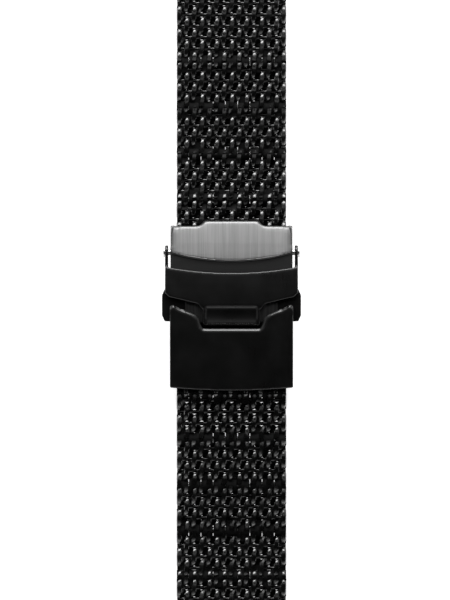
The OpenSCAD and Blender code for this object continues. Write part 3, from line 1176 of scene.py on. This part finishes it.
@dataclass(frozen=True)
class EndHousing(FormedPiece):
    """The brushed plate, with painted shade on the recess for the lock, on its tilted rims and towards
    its sides.
    """

    recess_side: float = 11.11
    recess_middle: float = 9.55
    # Painted shade: faces tilted past the first value start to go dark, fully at the second, and a
    # border of this width darkens towards each side
    unshaded_tilt: float = 0.97
    shaded_tilt: float = 0.85
    border: float = 1.6
    border_shade: float = 0.9

    def finish(self, piece: Object) -> Object:
        """Marks the painted shade on the recess, the tilted rims and the sides.

        Args:
            piece: the rounded piece.

        Returns:
            The same piece.
        """
        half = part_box(self.node)[1].x
        # Painted shade: the recess, the tilted rims and the sides are marked to render black, in place
        # of the shade and dark reflections there
        mark = piece.data.attributes.new("plate_shade", "FLOAT", "CORNER")
        values = []
        for face in piece.data.polygons:
            bow = (self.recess_side - self.recess_middle) * (face.center.x / half) ** 2
            recessed = face.center.y < (self.recess_middle + bow) * MM
            rim = (self.unshaded_tilt - face.normal.z) / (self.unshaded_tilt - self.shaded_tilt)
            side = self.border_shade * (1 - (half - abs(face.center.x)) / (self.border * MM))
            values += [1.0 if recessed else max(0.0, side, min(1.0, rim))] * face.loop_total
        mark.data.foreach_set("value", values)
        return piece


@dataclass(frozen=True)
class FlipLock(FormedPiece):
    """The safety plate, whose tongue has a dished face and a nail grip."""

    dish_width: float = 9.4
    dish_ends: tuple[float, float] = (-1.85, 1.15)
    dish_y: float = 0.25
    dish_depth: float = 0.38
    dish_sides: int = 128
    dish_round: float = 0.15
    tongue_top: float = 1.42
    tongue_tilt: float = 0.8
    rib_pitch: float = 0.34
    rib_r: float = 0.12
    rib_inset: float = 0.03
    rib_length: float = 0.44
    rib_rise: float = 0.26
    rib_sides: int = 8
    rib_rings: int = 6
    rib_crease: float = 60.0
    seat: tuple[float, float] = (4.0, 0.4)
    ribs: int = 27

    def detail(self, piece: Object) -> None:
        """Presses the dish into the tongue.

        Args:
            piece: the piece with sharp edges.
        """
        tops = [face for face in piece.data.polygons if self._is_tongue(face.center, face.normal)]
        face = max(tops, key=lambda top: top.area)
        up = face.normal.copy()
        along = Vector((0, up.z, -up.y))
        place = face.center + along * ((self.dish_y * MM - face.center.y) / along.y)
        chord = self.dish_y - self.dish_ends[0]
        radius = (chord**2 + self.dish_depth**2) / (2 * self.dish_depth)
        place += up * (radius - self.dish_depth) * MM
        bpy.ops.mesh.primitive_cylinder_add(
            vertices=self.dish_sides,
            radius=radius * MM,
            depth=self.dish_width * MM,
            rotation=(0, math.pi / 2, 0),
        )
        press = Bench.settle(bpy.context.object)
        for vertex in press.data.vertices:
            vertex.co.y = min(vertex.co.y, self.dish_ends[1] * MM - place.y)
        Bench.modify(press, "BEVEL", width=self.dish_round * MM, segments=3)
        press.data.transform(Matrix.Translation((0, place.y, place.z)))
        Bench.modify(piece, "BOOLEAN", operation="DIFFERENCE", solver="EXACT", object=press)
        bpy.data.objects.remove(press)

    def finish(self, piece: Object) -> Object:
        """Adds the nail grip along the tongue's tip.

        Args:
            piece: the rounded piece.

        Returns:
            The piece with its grip.
        """
        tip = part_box(self.node)[0].y / MM + self.rib_inset
        seat_x, seat_y = self.seat
        corners = [corner.co / MM for corner in piece.data.vertices]
        top = max(at.z for at in corners if abs(at.x) < seat_x and at.y < tip + seat_y)
        low = Vector((-self.rib_pitch * (self.ribs - 1) / 2, tip, top))
        middle = low + Vector((0, self.rib_length / 2, 0))
        bpy.ops.mesh.primitive_uv_sphere_add(
            segments=self.rib_sides,
            ring_count=self.rib_rings,
            radius=MM,
            location=middle * MM,
            scale=(self.rib_r, self.rib_length / 2, self.rib_rise),
        )
        rib = Bench.settle(bpy.context.object)
        Bench.smooth(rib, self.rib_crease)
        steps = [Matrix.Translation((i * self.rib_pitch * MM, 0, 0)) for i in range(1, self.ribs)]
        return Bench.join(piece.name, [piece, rib] + [Bench.copy(rib, "rib", step) for step in steps])

    def _is_tongue(self, centre: Vector, normal: Vector) -> bool:
        """Tells whether a face is the top of the tongue."""
        return normal.z > self.tongue_tilt and centre.y < self.tongue_top * MM


@dataclass(frozen=True)
class WoundSpring:
    """A coil spring along X in the room that its node holds."""

    node: str
    body: str
    wire_r: float
    turns: int
    sides: int = 8
    rings: int = 16
    crease: float = 60.0

    def build(self, finish: bpy.types.Material) -> Object:
        """Winds the spring.

        Args:
            finish: its material.

        Returns:
            The piece, riding on its body.
        """
        low, high = (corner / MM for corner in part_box(self.node))
        middle = (low + high) / 2
        radius = (high.z - low.z) / 2 - self.wire_r
        length = high.x - low.x - 2 * self.wire_r
        steps = self.turns * self.rings
        points = []
        for i in range(steps + 1):
            angle = math.tau * i / self.rings
            across = low.x + self.wire_r + length * i / steps
            along = middle.y + radius * math.sin(angle)
            points.append(Vector((across, along, middle.z + radius * math.cos(angle))))
        piece = Bench.wire(self.node + "_coil", points, self.wire_r, self.sides)
        Bench.smooth(piece, self.crease)
        dress(piece, finish)
        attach(piece, self.body)
        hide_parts(self.node)
        return piece


def dress(piece: Object, finish: bpy.types.Material) -> None:
    """Gives a piece one material.

    Args:
        piece: a piece or a CAD node.
        finish: the material.
    """
    if piece.material_slots:
        for place in piece.material_slots:
            place.material = finish
    else:
        piece.data.materials.append(finish)


# The studio

@dataclass(frozen=True)
class Lamp:
    """A soft box, aimed at the middle of the band."""

    name: str
    place: tuple[float, float, float]
    size: tuple[float, float]
    radiance: float

    def build(self) -> None:
        """Hangs the lamp."""
        data = bpy.data.lights.new(self.name, "AREA")
        data.shape = "RECTANGLE"
        data.size, data.size_y = self.size
        data.energy = self.radiance * math.pi * self.size[0] * self.size[1]
        lamp = bpy.data.objects.new(self.name, data)
        bpy.context.scene.collection.objects.link(lamp)
        lamp.location = self.place
        lamp.rotation_euler = (-Vector(self.place)).to_track_quat("-Z", "Y").to_euler()
        lamp.visible_camera = False


@dataclass(frozen=True)
class Studio:
    """A pale floor, soft boxes and the camera over the clasp, with the large sizes in metres."""

    view_height_mm: float = 109.1
    view_mm: tuple[float, float] = (-1.18, 2.383)
    camera_z: float = 0.4
    near_clip: float = 0.001
    floor_side: float = 12.0
    floor_z_mm: float = -0.1
    floor_grey: float = 0.80
    floor_glow: float = 0.82
    room_light: float = 0.15
    flag_z: float = 0.8
    flag_size: tuple[float, float] = (2.4, 1.3)
    flag_grey: float = 0.01

    def build(self) -> None:
        """Sets up the floor, the lamps, the world and the camera."""
        self._floor()
        self._flag()
        self._world()
        self._camera()
        for lamp in LAMPS:
            lamp.build()

    def _floor(self) -> None:
        """Lays the pale floor."""
        bpy.ops.mesh.primitive_plane_add(size=self.floor_side, location=(0, 0, self.floor_z_mm * MM))
        floor = bpy.context.object
        floor.name = "floor"
        made = bpy.data.materials.new("floor_paper")
        graph = Graph(made)
        paper = graph.node("ShaderNodeBsdfDiffuse", {}, {"Color": grey(self.floor_grey)})
        glow = graph.node("ShaderNodeEmission", {}, {"Color": grey(1.0), "Strength": self.floor_glow})
        both = graph.node("ShaderNodeAddShader", {}, {0: paper, 1: glow})
        seen = self._seen(graph)
        shader = graph.node("ShaderNodeMixShader", {}, {0: seen, 1: paper, 2: both})
        graph.node("ShaderNodeOutputMaterial", {}, {"Surface": shader})
        floor.data.materials.append(made)

    def _flag(self) -> None:
        """Hangs a black cloth over the lamps, which keeps the ground faces of the mesh dark."""
        bpy.ops.mesh.primitive_plane_add(size=1.0, location=(0, 0, self.flag_z))
        flag = bpy.context.object
        flag.name = "flag"
        flag.data.transform(Matrix.Diagonal((*self.flag_size, 1.0, 1.0)))
        flag.visible_camera = False
        made = bpy.data.materials.new("black_cloth")
        graph = Graph(made)
        cloth = graph.node("ShaderNodeBsdfDiffuse", {}, {"Color": grey(self.flag_grey)})
        graph.node("ShaderNodeOutputMaterial", {}, {"Surface": cloth})
        flag.data.materials.append(made)

    @staticmethod
    def _seen(graph: Graph) -> Term:
        """Tells whether a ray comes from the camera or off a mirror or glass.

        Args:
            graph: the material's or the world's graph.

        Returns:
            One for such a ray and nought for any other.
        """
        path = "ShaderNodeLightPath"
        direct = graph.node(path, {}, {}, "Is Camera Ray") + graph.node(path, {}, {}, "Is Glossy Ray")
        seen = direct + graph.node(path, {}, {}, "Is Transmission Ray")
        return graph.node("ShaderNodeMath", {"operation": "MINIMUM"}, {0: seen, 1: 1.0})

    def _world(self) -> None:
        """Lights the room dimly and shows it white."""
        world = bpy.data.worlds.new("room")
        bpy.context.scene.world = world
        graph = Graph(world)
        strength = self._seen(graph) * (1 - self.room_light) + self.room_light
        light = graph.node("ShaderNodeBackground", {}, {"Color": grey(1.0), "Strength": strength})
        graph.node("ShaderNodeOutputWorld", {}, {"Surface": light})

    def _camera(self) -> None:
        """Hangs the camera straight over the clasp."""
        data = bpy.data.cameras.new("camera")
        data.type = "ORTHO"
        data.ortho_scale = self.view_height_mm * MM
        data.clip_start = self.near_clip
        camera = bpy.data.objects.new("camera", data)
        bpy.context.scene.collection.objects.link(camera)
        view_x, view_y = self.view_mm
        camera.location = (view_x * MM, view_y * MM, self.camera_z)
        bpy.context.scene.camera = camera
        bpy.context.scene.view_settings.view_transform = "Standard"


# Building

LAMPS = (
    Lamp("key", (0.0, 0.55, 0.20), (0.45, 0.26), 22.0),
    Lamp("fill", (0.0, -0.55, 0.22), (0.6, 0.16), 3.5),
    Lamp("top", (0.0, 0.25, 0.70), (1.2, 0.12), 1.6),
)
UPPER_MESH = (
    MeshRun("upper_link_1", "upper_link_1", 0.6, 2.0, 5, Row.NARROW, near=Joined.TUBE, sideways=-0.02),
    MeshRun("upper_link_2", "upper_link_2", -0.56, 1.99, 6, Row.WIDE),
    MeshRun("upper_link_3", "upper_link_3", -1.0, 2.0, 6, Row.WIDE),
    MeshRun("upper_link_4", "upper_link_4", -1.16, 2.0, 6, Row.WIDE),
    MeshRun("upper_mesh_strap", "upper_mesh_strap", 0.2, 2.07, 18, Row.WIDE, far=Joined.TUBE),
)
LOWER_MESH = (
    MeshRun("lower_link_1", "lower_link_1", 1.0, 2.05, 5, Row.WIDE, near=Joined.TUBE, relief=0.25),
    MeshRun("lower_link_2", "lower_link_2", -0.8, 2.125, 6, Row.NARROW),
    MeshRun("lower_link_3", "lower_link_3", -0.3, 2.03, 6, Row.WIDE),
    MeshRun("lower_link_4", "lower_link_4", 0.0, 2.03, 5, Row.NARROW),
    MeshRun("lower_link_5", "lower_link_5", -1.37, 2.07, 6, Row.NARROW),
    MeshRun("lower_mesh_strap", "lower_mesh_strap", 0.0, 2.07, 17, Row.NARROW, far=Joined.TUBE),
)
FORMED = (
    EndHousing("end_housing", "clasp_base", Slot.BRUSHED, (
        Polish(100, (Zone(above=0.72, beyond=0.74), Zone(above=0.72, beyond=0.6, beside=0.42))),
        Polish(100, (Zone(above=0.1, beyond=0.82, beside=0.42),)),
    )),
    FlipLock("flip_lock", "flip_lock", Slot.SATIN, (
        Polish(24, (Zone(above=0.8, beyond=0.6),)),
    )),
    FormedPiece(
        "clasp_cover",
        "clasp_cover",
        Slot.SATIN,
        (Polish(16, (Zone(above=0.6, beyond=0.62, within=0.485),)),),
        (Chamfer(0.6, Zone(above=0.8, beyond=0.6)),),
    ),
    FormedPiece("push_button_left", "push_button_left", Slot.SATIN, grain=0.1, passes=16),
    FormedPiece("push_button_right", "push_button_right", Slot.SATIN, grain=0.1, passes=16),
)
SPRINGS = (
    WoundSpring("button_spring", "clasp_base", 0.15, 12),
    WoundSpring("adjusting_spring", "clasp_cover", 0.1, 30),
    WoundSpring("upper_lug_spring", "upper_mesh_strap", 0.1, 30),
    WoundSpring("lower_lug_spring", "lower_mesh_strap", 0.1, 30),
)
BLADES = ("inner_blade", "middle_blade", "latch_frame")


def report(piece: Object) -> None:
    """Logs a finished piece."""
    log.info("%s: %d faces", piece.name, len(piece.data.polygons))


def main() -> None:
    """Builds every piece and reports it."""
    logging.basicConfig(level=logging.INFO, format="%(message)s")
    finishes = {
        made.slot: made.material()
        for made in (
            CoatedWire(),
            SatinCoat(),
            BrushedSteel(),
            BrushedSteel(Slot.BLADE, dark=0.06, bright=0.13, gloss=0.36, lines=12.0),
            TurnedSteel(),
        )
    }
    Studio().build()
    weave = Weave()
    rows = {kind: weave.row(kind) for kind in Row}
    for run in UPPER_MESH + LOWER_MESH:
        report(run.build(weave, rows, Loops(), finishes[Slot.MESH]))
    for row in rows.values():
        bpy.data.objects.remove(row)
    for formed in FORMED:
        report(formed.build(finishes[formed.slot]))
    for spring in SPRINGS:
        report(spring.build(finishes[Slot.PIN]))
    for name, node in frame["nodes"].items():
        if not node.hide_render:
            dress(node, finishes[Slot.BLADE if name in BLADES else Slot.PIN])
            log.info("%s: dressed", name)


if __name__ == "__main__":
    main()
